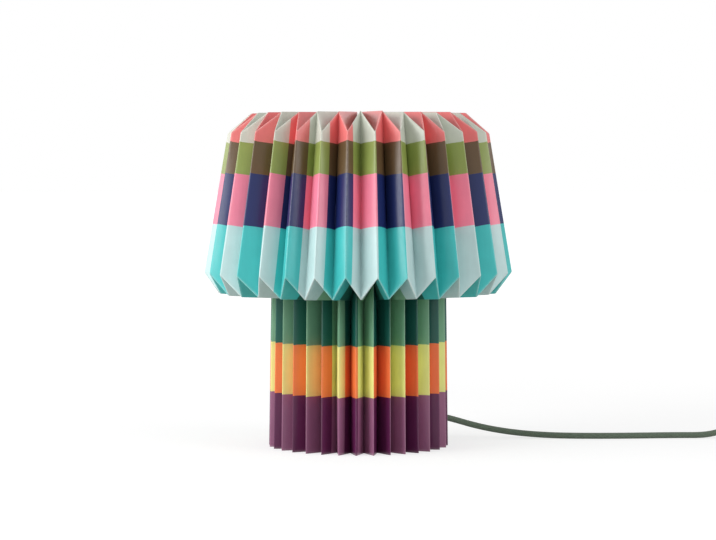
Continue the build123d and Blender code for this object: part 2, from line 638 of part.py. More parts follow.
def switch_parts():
    """In-line switch: two moulded halves, rocker on a pin, screws, contacts and a relief at each end."""
    x, y, axis_z = SWITCH_START
    centre_x = x + SWITCH_LENGTH / 2
    floor_z = axis_z - SWITCH_HALF
    outline = RectangleRounded(SWITCH_LENGTH, SWITCH_WIDTH, 9)
    hollow = RectangleRounded(SWITCH_LENGTH - 2 * SWITCH_WALL, SWITCH_WIDTH - 2 * SWITCH_WALL, 9 - SWITCH_WALL)
    depth = SWITCH_HALF - SWITCH_WALL
    screw_xs = (-SWITCH_LENGTH / 2 + 7.5, SWITCH_LENGTH / 2 - 7.5)

    base = extrude(outline, SWITCH_HALF) - Pos(0, 0, SWITCH_WALL) * extrude(hollow, depth)
    base = chamfer(base.faces().sort_by(Axis.Z)[0].edges(), 0.8)
    for sx in screw_xs:
        base = base + Pos(sx, 0, SWITCH_WALL) * Cylinder(SCREW_HEAD_R + 1.2, depth, align=BOTTOM)
        base = base - Pos(sx, 0, 0) * Cylinder(SCREW_R + PIVOT_GAP, SWITCH_HALF, align=BOTTOM)
        base = base - Pos(sx, 0, 0) * Cylinder(SCREW_HEAD_R + PIVOT_GAP, SCREW_HEAD + 0.4, align=BOTTOM)
    save("switch_base", Pos(centre_x, y, floor_z) * base)

    cover = extrude(outline, SWITCH_HALF) - extrude(hollow, depth)
    cover = fillet(cover.faces().sort_by(Axis.Z)[-1].edges(), 1.4)
    cover = cover - Box(ROCKER_LENGTH + 2 * ROCKER_GAP, ROCKER_WIDTH + 2 * ROCKER_SIDE_GAP, 4 * SWITCH_HALF)
    pivot_z = SWITCH_HALF - SWITCH_WALL - PIVOT_R - 1
    ear = SWITCH_WIDTH / 2 - SWITCH_WALL - ROCKER_WIDTH / 2 - ROCKER_SIDE_GAP
    for side in (-1, 1):
        block = Box(5, ear, SWITCH_HALF - SWITCH_WALL - pivot_z + PIVOT_R + 1.5,
                    align=(Align.CENTER, Align.MIN, Align.MAX))
        cover = cover + Rot(0, 0, 90 - 90 * side) * Pos(0, ROCKER_WIDTH / 2 + ROCKER_SIDE_GAP, depth) * block
    pivot_hole = Rot(90, 0, 0) * Cylinder(PIVOT_R + PIVOT_GAP, SWITCH_WIDTH - 2 * SWITCH_WALL)
    cover = cover - Pos(0, 0, pivot_z) * pivot_hole
    for sx in screw_xs:
        cover = cover + Pos(sx, 0, 0) * Cylinder(SCREW_HEAD_R + 1.2, depth, align=BOTTOM)
        cover = cover - Pos(sx, 0, 0) * Cylinder(SCREW_R + PIVOT_GAP, depth - 0.6, align=BOTTOM)
    save("switch_cover", Pos(centre_x, y, axis_z) * cover)

    half = ROCKER_LENGTH / 2
    drop = half * math.tan(math.radians(ROCKER_TILT))
    top = ROCKER_HEIGHT / 2 + 1.5
    side_view = Polyline([(-half, 0, top), (0, 0, top - drop), (half, 0, top), (half, 0, top - 4.5),
                          (0, 0, -PIVOT_R - 1.2), (-half, 0, top - 4.5)], close=True)
    rocker = extrude(make_face(side_view), ROCKER_WIDTH / 2, dir=(0, 1, 0), both=True)
    rocker = rocker - Rot(90, 0, 0) * Cylinder(PIVOT_R + PIVOT_GAP, ROCKER_WIDTH)
    pivot = Vector(centre_x, y, axis_z + pivot_z)
    save("switch_rocker", Pos(*pivot) * Rot(0, ROCKER_TILT, 0) * rocker)
    pin = Rot(90, 0, 0) * Cylinder(PIVOT_R, SWITCH_WIDTH - 2 * SWITCH_WALL - 2 * PIVOT_GAP)
    save("switch_pin", Pos(*pivot) * pin)
    print("switch pivot", pivot)

    screws = []
    for sx in screw_xs:
        shaft = Cylinder(SCREW_R, 2 * SWITCH_HALF - 3.5, align=BOTTOM)
        screw = Cylinder(SCREW_HEAD_R, SCREW_HEAD, align=BOTTOM) + shaft
        screws.append(Pos(centre_x + sx, y, floor_z + 0.4) * screw)
    save("switch_screws", Compound(children=screws))
    strips = [Pos(centre_x, y + side * 6, floor_z + SWITCH_WALL) * Box(22, 3, 1.2, align=BOTTOM) for side in (-1, 1)]
    save("switch_contacts", Compound(children=strips))
    ahead = Vector(1, 0, 0)
    reliefs = [rod(Vector(*SWITCH_START), ahead * -1, RELIEF, RELIEF_R, RELIEF_TIP_R),
               rod(Vector(*SWITCH_START) + ahead * SWITCH_LENGTH, ahead, RELIEF, RELIEF_R, RELIEF_TIP_R)]
    save("switch_reliefs", Compound(children=reliefs))


def cord_parts():
    """The free cords between the lamp, the switch and the coil."""
    tip = UP * EXIT_Z + EXIT * (HUB_R + GLAND + RELIEF)
    ahead = Vector(1, 0, 0)
    switch_in = Vector(*SWITCH_START) - ahead * RELIEF
    switch_out = Vector(*SWITCH_START) + ahead * (SWITCH_LENGTH + RELIEF)
    free_cord("cord_lamp", [tip] + [Vector(*point) for point in LAMP_CORD] + [switch_in])
    free_cord("cord_run", [switch_out] + [Vector(*point) for point in RUN_CORD])


paper_parts()
stand_parts()
carrier()
holder_parts()
bulb_parts()
cord_exit_parts()
cord_parts()
switch_parts()
plug_parts(*coil_parts())
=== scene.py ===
import json
import math

import bmesh
import bpy
import numpy as np
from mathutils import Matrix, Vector


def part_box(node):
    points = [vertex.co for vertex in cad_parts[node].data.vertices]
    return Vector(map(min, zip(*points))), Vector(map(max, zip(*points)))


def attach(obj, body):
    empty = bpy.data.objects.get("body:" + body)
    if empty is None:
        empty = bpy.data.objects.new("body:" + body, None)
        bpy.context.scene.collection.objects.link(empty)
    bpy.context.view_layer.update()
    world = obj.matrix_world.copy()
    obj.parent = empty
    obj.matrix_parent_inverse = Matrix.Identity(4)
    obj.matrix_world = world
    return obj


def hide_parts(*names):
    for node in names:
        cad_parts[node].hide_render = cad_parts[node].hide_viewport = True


# The pleated paper table lamp, in metres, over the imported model. +Z is up, the lamp's front is towards -Y,
# and an azimuth is counted in degrees from the front, positive towards +X. Folds are numbered the same way,
# two to a pleat: the even ones are valleys and the odd ones ridges.

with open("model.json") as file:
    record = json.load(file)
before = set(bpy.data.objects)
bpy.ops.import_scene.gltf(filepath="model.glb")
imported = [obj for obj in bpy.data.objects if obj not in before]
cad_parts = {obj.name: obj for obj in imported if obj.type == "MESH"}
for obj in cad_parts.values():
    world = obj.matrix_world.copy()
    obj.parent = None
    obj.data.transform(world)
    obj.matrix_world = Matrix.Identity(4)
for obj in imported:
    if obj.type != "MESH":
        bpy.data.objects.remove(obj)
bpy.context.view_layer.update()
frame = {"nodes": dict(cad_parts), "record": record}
MM = 0.001
PLEATS = 32
FOLDS = 2 * PLEATS
random = np.random.default_rng(11)


# ---- Camera ----

CAMERA_PLACE = (-0.0013, -2.1715, 0.2624)
CAMERA_TILT = 2.44
SENSOR_WIDTH = 36
PHOTO_WIDTH = 716
FOCAL_LENGTH_IN_PIXELS = 2247

camera = bpy.data.objects.new("camera", bpy.data.cameras.new("camera"))
bpy.context.collection.objects.link(camera)
camera.location = CAMERA_PLACE
camera.rotation_euler = (math.radians(90 - CAMERA_TILT), 0, 0)
camera.data.sensor_width = SENSOR_WIDTH
camera.data.lens = SENSOR_WIDTH * FOCAL_LENGTH_IN_PIXELS / PHOTO_WIDTH
bpy.context.scene.camera = camera


# ---- Materials ----

def srgb(red, green, blue):
    """A colour written in 0 to 255, as a shader takes it."""
    parts = [c / 255 for c in (red, green, blue)]
    return tuple(c / 12.92 if c < 0.04045 else ((c + 0.055) / 1.055) ** 2.4 for c in parts) + (1.0,)


class Finish:
    """A material's node tree, with short calls that add nodes and join them."""

    def __init__(self, name, **sockets):
        self.material = bpy.data.materials.new(name)
        self.material.use_nodes = True
        self.tree = self.material.node_tree
        self.surface = self.tree.nodes["Principled BSDF"]
        self.set(**sockets)

    def put(self, socket, value):
        if isinstance(value, bpy.types.NodeSocket):
            self.tree.links.new(value, socket)
        else:
            socket.default_value = value

    def set(self, **sockets):
        for name, value in sockets.items():
            self.put(self.surface.inputs[name.replace("_", " ")], value)

    def node(self, kind, inputs=None, **settings):
        made = self.tree.nodes.new("ShaderNode" + kind)
        for name, value in settings.items():
            setattr(made, name, value)
        for name, value in (inputs or {}).items():
            self.put(made.inputs[name], value)
        return made

    def math(self, operation, *values):
        made = self.node("Math", operation=operation)
        for socket, value in zip(made.inputs, values):
            self.put(socket, value)
        return made.outputs[0]

    def mix(self, factor, first, second, blend="MIX"):
        made = self.node("Mix", data_type="RGBA", blend_type=blend)
        self.put(made.inputs["Factor"], factor)
        self.put(made.inputs[6], first)
        self.put(made.inputs[7], second)
        return made.outputs[2]

    def spread(self, value, low, high, to_low=0.0, to_high=1.0):
        made = self.node("MapRange", {"Value": value, "From Min": low, "From Max": high,
                                      "To Min": to_low, "To Max": to_high})
        return made.outputs[0]

    def place(self):
        return self.node("TexCoord").outputs["Object"]

    def noise(self, scale, detail=3.0, stretch=None):
        vector = self.place()
        if stretch is not None:
            vector = self.node("Mapping", {"Vector": vector, "Scale": stretch}).outputs[0]
        made = self.node("TexNoise", {"Vector": vector, "Scale": scale, "Detail": detail})
        return made.outputs["Fac"]

    def bump(self, height, distance, strength=1.0):
        made = self.node("Bump", {"Height": height, "Distance": distance, "Strength": strength})
        return made.outputs[0]


# Where each band of the print ends along the sheet, and its colours in light and dark columns.
BANDS = [
    (0.1121, (203, 207, 194), (230, 118, 117)),
    (0.1421, (142, 157, 82), (98, 76, 50)),
    (0.1908, (241, 134, 159), (28, 41, 95)),
    (0.2780, (191, 218, 218), (68, 191, 190)),
    (0.3640, (119, 169, 135), (26, 90, 79)),
    (0.4120, (239, 237, 147), (243, 124, 70)),
    (0.4657, (154, 98, 131), (96, 34, 78)),
]


def band_colour(finish, along, which):
    """The bands of one kind of column, sharp from one to the next."""
    colour = srgb(*BANDS[0][which])
    for band, following in zip(BANDS, BANDS[1:]):
        passed = finish.math("GREATER_THAN", along, band[0])
        colour = finish.mix(passed, colour, srgb(*following[which]))
    return colour


def printed_paper():
    """Satin card printed in bands that cross light and dark columns, pale along the folds: partly where the
    folds have worn it, and along the ridges partly a painted highlight.
    """
    f = Finish("printed_paper", IOR=1.45)
    parts = f.node("SeparateXYZ", {"Vector": f.node("UVMap", uv_map="print").outputs[0]})
    column, along = parts.outputs[0], parts.outputs[1]
    # Light and dark columns take turns, and each is two folds wide, from ridge to ridge.
    turn = f.math("FRACT", f.math("MULTIPLY", f.math("ADD", column, FOLDS + 1.0), 0.25))
    dark = f.math("GREATER_THAN", turn, 0.5)
    ink = f.mix(dark, band_colour(f, along, 1), band_colour(f, along, 2))
    mottle = f.spread(f.noise(55, 4), 0.3, 0.7, 0.955, 1.03)
    streak = f.spread(f.noise(260, 2, stretch=(1, 1, 0.06)), 0.3, 0.7, 0.975, 1.02)
    tone = f.math("MULTIPLY", mottle, streak)
    tone = f.node("CombineColor", {"Red": tone, "Green": tone, "Blue": tone}).outputs[0]
    ink = f.mix(1.0, ink, tone, "MULTIPLY")
    # Pale along the folds: wear, and on the ridges also a painted highlight.
    worn_and_highlight = f.node("Attribute", attribute_name="wear").outputs["Fac"]
    patchy = f.spread(f.noise(420, 5), 0.25, 0.65, 0.2, 0.85)
    worn_and_highlight = f.node("Clamp", {"Value": f.math("MULTIPLY", worn_and_highlight, patchy)}).outputs[0]
    pale = f.mix(0.7, ink, srgb(244, 240, 232))
    f.set(Base_Color=f.mix(worn_and_highlight, ink, pale))
    grain = f.noise(2600, 3)
    fibre = f.noise(700, 4, stretch=(1, 1, 0.35))
    height = f.math("ADD", f.math("MULTIPLY", grain, 0.5), fibre)
    polish = f.spread(fibre, 0.3, 0.7, 0.28, 0.38)
    f.set(Roughness=f.math("ADD", polish, f.math("MULTIPLY", worn_and_highlight, 0.25)))
    f.set(Normal=f.bump(height, 0.00002, 0.7))
    return f.material


def plain_paper():
    """The card's bare white back and its cut edges."""
    f = Finish("plain_paper", IOR=1.45)
    f.set(Base_Color=f.mix(f.spread(f.noise(90, 5), 0.3, 0.7), srgb(236, 233, 226), srgb(244, 242, 237)))
    fibre = f.noise(900, 5, stretch=(1, 1, 0.4))
    f.set(Roughness=f.spread(fibre, 0.3, 0.7, 0.72, 0.86))
    f.set(Normal=f.bump(fibre, 0.00006, 0.6))
    return f.material


def powder_coat():
    """White powder coat with the fine orange peel of a cured film."""
    f = Finish("powder_coat")
    f.set(Base_Color=f.mix(f.spread(f.noise(40, 4), 0.35, 0.7), srgb(226, 225, 220), srgb(234, 233, 229)))
    peel = f.noise(1300, 2)
    f.set(Roughness=f.spread(f.noise(500, 3), 0.3, 0.7, 0.42, 0.52))
    f.set(Normal=f.bump(peel, 0.00008, 0.5))
    return f.material


def plated(name, base, shade, roughness, streaks):
    """Plated or bare metal with fine drawn or stamped marks."""
    f = Finish(name, Metallic=1.0)
    marks = f.noise(900, 4, stretch=streaks)
    f.set(Base_Color=f.mix(f.spread(f.noise(160, 5), 0.35, 0.75), srgb(*base), srgb(*shade)))
    f.set(Roughness=f.spread(marks, 0.3, 0.7, roughness - 0.06, roughness + 0.1))
    f.set(Normal=f.bump(marks, 0.00002, 0.5))
    return f.material


def threaded(name, base, roughness, pitch, depth, metallic):
    """A surface whose upright parts carry a screw thread of that pitch."""
    f = Finish(name, Metallic=metallic)
    parts = f.node("SeparateXYZ", {"Vector": f.place()})
    turn = f.math("DIVIDE", f.math("ARCTAN2", parts.outputs[1], parts.outputs[0]), 2 * math.pi)
    phase = f.math("ADD", f.math("DIVIDE", parts.outputs[2], pitch), turn)
    ridge = f.math("PINGPONG", phase, 0.5)
    shade = [c * 0.94 for c in base]
    f.set(Base_Color=f.mix(f.spread(f.noise(200, 4), 0.3, 0.7), srgb(*base), srgb(*shade)))
    f.set(Roughness=f.spread(f.noise(700, 3), 0.3, 0.7, roughness - 0.04, roughness + 0.06))
    f.set(Normal=f.bump(ridge, depth, 1.0))
    return f.material


def moulded(name, base, shade, roughness, grain=1500, depth=0.00005, coat=0.0):
    """Moulded plastic or rubber with an eroded mould's fine grain."""
    f = Finish(name, Coat_Weight=coat)
    f.set(Base_Color=f.mix(f.spread(f.noise(70, 4), 0.35, 0.7), srgb(*base), srgb(*shade)))
    fine = f.noise(grain, 3)
    f.set(Roughness=f.spread(fine, 0.3, 0.7, roughness - 0.05, roughness + 0.06))
    f.set(Normal=f.bump(fine, depth, 0.6))
    return f.material


def felt():
    """Pressed wool felt."""
    f = Finish("felt", Roughness=1.0, Sheen_Weight=0.4, Sheen_Roughness=0.6)
    fibres = f.noise(1100, 6, stretch=(1, 0.35, 1))
    across = f.noise(1000, 6, stretch=(0.3, 1, 1))
    height = f.math("ADD", fibres, across)
    f.set(Base_Color=f.mix(f.spread(height, 0.75, 1.25), srgb(52, 52, 50), srgb(96, 95, 92)))
    f.set(Normal=f.bump(height, 0.0003, 0.8))
    return f.material


def opal():
    """Satin opal cover of the bulb."""
    f = Finish("opal", Roughness=0.34, Subsurface_Weight=0.25, Subsurface_Scale=0.01, Coat_Weight=0.15)
    f.set(Base_Color=f.mix(f.spread(f.noise(30, 3), 0.3, 0.7), srgb(240, 239, 234), srgb(246, 245, 241)))
    f.set(Normal=f.bump(f.noise(900, 2), 0.00002, 0.4))
    return f.material


def braid(name, colours, around, per_metre, depth):
    """A braided textile cover: two families of threads, over and under each other in turn."""
    f = Finish(name, Sheen_Weight=0.15, Sheen_Roughness=0.5)
    parts = f.node("SeparateXYZ", {"Vector": f.node("UVMap", uv_map="wrap").outputs[0]})
    turn = f.math("MULTIPLY", parts.outputs[0], around)
    along = f.math("MULTIPLY", parts.outputs[1], per_metre)
    right, left = f.math("ADD", turn, along), f.math("SUBTRACT", turn, along)
    cells = f.math("ADD", f.math("FLOOR", right), f.math("FLOOR", left))
    over = f.math("LESS_THAN", f.math("FLOORED_MODULO", cells, 2.0), 0.5)

    def thread(count):
        centred = f.math("SUBTRACT", f.math("MULTIPLY", f.math("FRACT", count), 2.0), 1.0)
        return f.math("SUBTRACT", 1.0, f.math("MULTIPLY", centred, centred))

    def tone(count):
        # Threads that meet again around the cord share a number.
        return f.node("TexWhiteNoise", {"W": f.math("FLOORED_MODULO", f.math("FLOOR", count), around)},
                      noise_dimensions="1D").outputs["Value"]

    def choose(a, b):
        under = f.math("SUBTRACT", 1.0, over)
        return f.math("ADD", f.math("MULTIPLY", over, a), f.math("MULTIPLY", under, b))

    height = choose(thread(right), thread(left))
    shade = choose(tone(right), tone(left))
    yarn = f.noise(3200, 2)
    colour = f.mix(f.spread(shade, 0.0, 1.0, 0.0, 0.55), srgb(*colours[0]), srgb(*colours[1]))
    # Between the threads the colour falls to the third, darker colour: painted shade in the gaps.
    gap_shade = f.spread(height, 0.0, 0.55)
    colour = f.mix(gap_shade, srgb(*colours[2]), colour)
    f.set(Base_Color=f.mix(f.spread(yarn, 0.35, 0.7, 0.0, 0.25), colour, srgb(*colours[1])))
    f.set(Roughness=f.spread(yarn, 0.3, 0.7, 0.72, 0.88))
    f.set(Normal=f.bump(f.math("ADD", height, f.math("MULTIPLY", yarn, 0.2)), depth, 0.9))
    return f.material


def webbing():
    """Woven strap: rows of ribs along it, each crossed by the weft."""
    f = Finish("tie", Sheen_Weight=0.2, Sheen_Roughness=0.5)
    parts = f.node("SeparateXYZ", {"Vector": f.node("UVMap", uv_map="wrap").outputs[0]})
    row = f.math("MULTIPLY", parts.outputs[1], 1100.0)
    rib = f.math("PINGPONG", f.math("MULTIPLY", parts.outputs[0], 900.0), 0.5)
    weft = f.math("PINGPONG", f.math("ADD", row, f.math("MULTIPLY", parts.outputs[0], 450.0)), 0.5)
    height = f.math("ADD", rib, f.math("MULTIPLY", weft, 0.7))
    # Darker where the weave dips: painted shade in its grooves.
    f.set(Base_Color=f.mix(f.spread(height, 0.1, 0.7), srgb(40, 46, 41), srgb(70, 80, 70)))
    f.set(Roughness=f.spread(f.noise(2500, 2), 0.3, 0.7, 0.7, 0.85))
    f.set(Normal=f.bump(height, 0.00025, 0.9))
    return f.material


FINISHES = {
    "printed_paper": printed_paper(),
    "plain_paper": plain_paper(),
    "powder_coat": powder_coat(),
    "felt": felt(),
    "opal": opal(),
    "zinc_steel": plated("zinc_steel", (196, 198, 200), (176, 180, 186), 0.28, (1, 1, 0.2)),
    "brass": plated("brass", (206, 168, 96), (190, 146, 76), 0.26, (1, 1, 0.15)),
    "nickel": plated("nickel", (204, 202, 196), (188, 186, 180), 0.2, (1, 1, 0.15)),
    "white_plastic": moulded("white_plastic", (232, 231, 226), (224, 223, 217), 0.4),
    "ceramic": moulded("ceramic", (232, 229, 220), (224, 220, 210), 0.22, grain=600, depth=0.00003, coat=0.3),
    "nylon": moulded("nylon", (52, 60, 55), (46, 54, 49), 0.42),
    "rubber": moulded("rubber", (62, 74, 64), (54, 66, 57), 0.58, grain=1900, depth=0.00006),
    "switch_plastic": moulded("switch_plastic", (66, 79, 68), (60, 73, 62), 0.36, grain=1700, depth=0.00004),
    "lead_sheath": moulded("lead_sheath", (228, 227, 221), (220, 219, 212), 0.46),
    # The third colour is painted shade in the gaps between the threads.
    "textile": braid("textile", ((92, 108, 92), (118, 134, 114), (48, 58, 49)), around=16.0,
                     per_metre=620.0, depth=0.00022),
    "string": moulded("string", (222, 214, 194), (238, 232, 216), 0.6, grain=3000, depth=0.00006),
    "tie": webbing(),
}
STEM_THREAD = threaded("stem_thread", (192, 194, 196), 0.3, pitch=0.001, depth=0.0004, metallic=1.0)
SKIRT_THREAD = threaded("skirt_thread", (232, 231, 226), 0.4, pitch=0.0025, depth=0.0009, metallic=0.0)


# ---- Meshes ----

def add_mesh(name, vertices, faces, slot, body="stand"):
    """A new smooth piece that rides on a body and takes its finish from a slot."""
    mesh = bpy.data.meshes.new(name)
    mesh.from_pydata([tuple(v) for v in vertices], [], [tuple(f) for f in faces])
    piece = bpy.data.objects.new(name, mesh)
    bpy.context.collection.objects.link(piece)
    mesh.materials.append(FINISHES[slot])
    mesh.polygons.foreach_set("use_smooth", [True] * len(mesh.polygons))
    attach(piece, body)
    return piece


def polar(azimuth, radius, height):
    """A point at an azimuth counted from the lamp's front."""
    angle = np.radians(azimuth)
    return np.array([radius * np.sin(angle), -radius * np.cos(angle), height])


# ---- Folds of the paper ----

HALF_PLEAT = 180 / PLEATS
CARD = 0.4 * MM
GLUE = 0.05 * MM
SHADE_TURN = 0.8
BASE_TURN = 3.8
NOTCH_FOLD = 20
NOTCH_HEIGHT = 34 * MM
# (radius, height, length along the sheet) in millimetres at the stations vent, top edge, rim, neck and table.
VALLEY = [
    (11.5, 322.0, -10.0), (103.0, 320.5, 81.5), (132.6, 148.0, 255.1), (63.1, 144.0, 321.7),
    (64.94, 0.0, 465.7),
]
RIDGE = [
    (16.0, 298.4, -6.0), (125.5, 301.5, 103.6), (147.0, 168.5, 238.3), (84.2, 164.5, 301.2),
    (86.0, 0.0, 465.7),
]
STATIONS = len(RIDGE)
ZONES = STATIONS - 1
NECK = 3
OUTER_STATIONS = (1, 2)
# How much of the errors of hand work shows at the other stations, where string, stand or table hold a fold.
HELD = 0.35
# By how much the folds stand out on the left at each station, in millimetres.
LEFT_FULLNESS = (0.0, 2.0, 2.8, 1.2, 2.0)
# Where the folds have wandered most round the lamp: (azimuth, reach, most) in degrees.
SHADE_DRIFT = (50, 20, -1.7)
BASE_DRIFT = (52, 24, -3.2)
# By how many folds the print lags behind the folding, from a fold on the left to one at the front.
SHADE_SLIP = ((-8.2, -6.3, -4.3, -2.5, -0.6, 1.3), (1.0, 0.66, 0.64, 0.47, 0.37, 0.0))
BASE_SLIP = ((-6.5, -4.0, -2.5, 0.0), (1.0, 0.55, 0.45, 0.0))
# Where along the sheet the one lag gives way to the other.
SLIP_CHANGE_FROM, SLIP_CHANGE_LENGTH = 0.262, 0.045
# How far a panel crowns in each zone from the top to the base, and by how much that varies, in millimetres.
CROWN = np.array([0.3, 1.7, 0.3, 0.9])
CROWN_SPREAD = 0.22
# Where the rows and columns of the mesh lie: close together beside a fold, which is rounded there.
COLUMNS = [0.0, 0.02, 0.055, 0.13, 0.3, 0.5, 0.7, 0.87, 0.945, 0.98]
CREASE_ROWS = (0.0008, 0.0024)
ROW_STEP = 0.009
# How strong the pale mark is close beside a fold, in a valley, on a crease across the pleats and on the base:
# wear, and on the ridges also a painted highlight.
BESIDE_WEAR_AND_HIGHLIGHT, VALLEY_WEAR_AND_HIGHLIGHT, CREASE_WEAR, BASE_WEAR_AND_HIGHLIGHT = 0.3, 0.05, 0.75, 0.4
# How far it reaches from a fold, as a share of the panel, and from a crease, in metres.
FOLD_REACH, CREASE_REACH = 0.03, 0.001
# The least share of the card's thickness that the mean direction at a sharp fold may measure.
LEAST_LEAN = 0.45
PRINTED_SIDE, BARE_SIDE, CUT_EDGE = range(3)

# The errors of hand folding, in degrees and millimetres, and how strong each fold's pale mark is: rubbed ink,
# and on a ridge also a painted highlight.
azimuth_error = random.uniform(-0.3, 0.3, (FOLDS, 2))
radius_error = random.uniform(-0.5, 0.5, (FOLDS, STATIONS))
height_error = random.uniform(-0.6, 0.6, (FOLDS, STATIONS))
bow = random.normal(0.0, CROWN_SPREAD, (FOLDS, ZONES)) + CROWN
rub_and_highlight = random.uniform(0.06, 0.34, FOLDS)
azimuth_error[NOTCH_FOLD] = 0


def drift(azimuth, in_base):
    """How far hand pleating has let the folds wander round the lamp."""
    centre, reach, most = BASE_DRIFT if in_base else SHADE_DRIFT
    return most * math.exp(-(((azimuth - centre) / reach) ** 2))


def fold_points(fold):
    """A fold line's five points, with the small errors of hand work."""
    points = []
    for station, (radius, height, _) in enumerate(RIDGE if fold % 2 else VALLEY):
        in_base = station >= NECK
        turns = (fold + PLEATS) % FOLDS - PLEATS
        azimuth = turns * HALF_PLEAT + (BASE_TURN if in_base else SHADE_TURN)
        azimuth += drift(azimuth, in_base) + azimuth_error[fold % FOLDS, int(in_base)]
        outer = station in OUTER_STATIONS
        radius += radius_error[fold % FOLDS, station] * (1.0 if outer else HELD)
        radius += LEFT_FULLNESS[station] * max(0.0, -math.sin(math.radians(azimuth))) ** 3
        height += height_error[fold % FOLDS, station] * (1.0 if outer else 0.0)
        points.append(polar(azimuth, radius, height) * MM)
    return np.array(points)


def zone_length(zone):
    """Length of a zone along a ridge."""
    return (RIDGE[zone + 1][2] - RIDGE[zone][2]) * MM


def zone_rows(length):
    """Shares of a zone's length at which it has rows of points."""
    near = [d / length for d in CREASE_ROWS]
    inner = np.linspace(near[-1], 1 - near[-1], max(3, round(length / ROW_STEP)) + 1)
    return [0.0, near[0], *inner, 1 - near[0]]


def wear_and_highlight_at(zone, share, fold, u, on_rim):
    """How pale the print is at a point of a panel: ridges and creases are rubbed, and valleys hardly, and on
    the ridges the pale line is also a painted highlight.
    """
    near_fold = fold if u < 0.5 else fold + 1
    rubbed_and_highlight = VALLEY_WEAR_AND_HIGHLIGHT
    if near_fold % 2:
        rubbed_and_highlight = rub_and_highlight[near_fold % FOLDS] * (1.0 if zone < NECK else BASE_WEAR_AND_HIGHLIGHT)
    from_fold = min(u, 1 - u)
    if from_fold > 0:
        rubbed_and_highlight *= BESIDE_WEAR_AND_HIGHLIGHT if from_fold < FOLD_REACH else 0.0
    from_crease = min(share, 1 - share) * zone_length(zone)
    lip = 0.0 if on_rim else CREASE_WEAR
    if from_crease > 0:
        lip *= BESIDE_WEAR_AND_HIGHLIGHT if from_crease < CREASE_REACH else 0.0
    return max(rubbed_and_highlight, lip)


def sheet_grid(first, last, first_station):
    """Middle surface of a folded sheet as a grid, with each point's fold, length along the sheet, and wear
    with its painted highlight on the ridges.
    """
    lines = {f: fold_points(f) for f in range(first, last + 1)}
    rows = []
    for zone in range(first_station, ZONES):
        for share in zone_rows(zone_length(zone)):
            rows.append((zone, share))
    rows.append((ZONES - 1, 1.0))
    columns = [(f, u) for f in range(first, last) for u in COLUMNS] + [(last - 1, 1.0)]
    grid = np.zeros((len(rows), len(columns), 3))
    length = np.zeros((len(rows), len(columns)))
    wear = np.zeros((len(rows), len(columns)))
    for i, (zone, share) in enumerate(rows):
        on_rim = i in (0, len(rows) - 1)
        for j, (fold, u) in enumerate(columns):
            ends = []
            for f in (fold, fold + 1):
                a, b = lines[f][zone], lines[f][zone + 1]
                table = RIDGE if f % 2 else VALLEY
                run, next_run = table[zone][2], table[zone + 1][2]
                ends.append((a + (b - a) * share, run + (next_run - run) * share))
            point = ends[0][0] * (1 - u) + ends[1][0] * u
            across = ends[1][0] - ends[0][0]
            along = lines[fold][zone + 1] - lines[fold][zone]
            out = np.cross(along, across)
            out = out / np.linalg.norm(out)
            bulge = bow[fold % FOLDS, zone] * math.sin(math.pi * u) * math.sin(math.pi * share) ** 0.5
            grid[i, j] = point + out * bulge * MM
            length[i, j] = (ends[0][1] * (1 - u) + ends[1][1] * u) * MM
            wear[i, j] = wear_and_highlight_at(zone, share, fold, u, on_rim)
    # Folds and creases are rounded, not sharp, and the ridges more so than the valleys.
    inner_folds = [(j, f) for j, (f, u) in enumerate(columns) if u == 0.0 and f > first]
    valleys = np.array([j for j, f in inner_folds if f % 2 == 0], int)
    nose = np.array([j + k for j, f in inner_folds if f % 2 == 1 for k in (-2, -1, 0, 1, 2)], int)
    for near, passes in ((valleys, 1), (nose, 3)):
        for _ in range(passes):
            grid[:, near] = grid[:, near] * 0.5 + (grid[:, near - 1] + grid[:, near + 1]) * 0.25
    for i in range(1, len(rows) - 1):
        if rows[i][1] == 0.0:
            grid[i] = grid[i] * 0.6 + (grid[i - 1] + grid[i + 1]) * 0.2
    folds = np.array([f + u for f, u in columns])
    return grid, folds, length, wear


def offset_grid(grid, distance):
    """The grid moved outwards by a distance measured square to the sheet on both sides of a fold."""
    down = grid[1:, :-1] - grid[:-1, :-1] + grid[1:, 1:] - grid[:-1, 1:]
    over = grid[:-1, 1:] - grid[:-1, :-1] + grid[1:, 1:] - grid[1:, :-1]
    faces = np.cross(down, over)
    faces /= np.linalg.norm(faces, axis=2, keepdims=True)
    padded = np.pad(faces, ((1, 1), (1, 1), (0, 0)), mode="edge")
    corners = np.stack([padded[:-1, :-1], padded[:-1, 1:], padded[1:, :-1], padded[1:, 1:]])
    normal = corners.sum(axis=0)
    normal /= np.linalg.norm(normal, axis=2, keepdims=True)
    lean = np.clip((corners * normal).sum(axis=3).min(axis=0), LEAST_LEAN, 1)
    return grid + normal * (distance / lean)[..., None]


def slip(fold, length):
    """By how many folds the print lags behind the folding: none on the right, one on the left."""
    on_shade = np.interp(fold, *SHADE_SLIP)
    on_base = np.interp(fold, *BASE_SLIP)
    share = np.clip((length - SLIP_CHANGE_FROM) / SLIP_CHANGE_LENGTH, 0, 1)
    return on_shade + (on_base - on_shade) * share


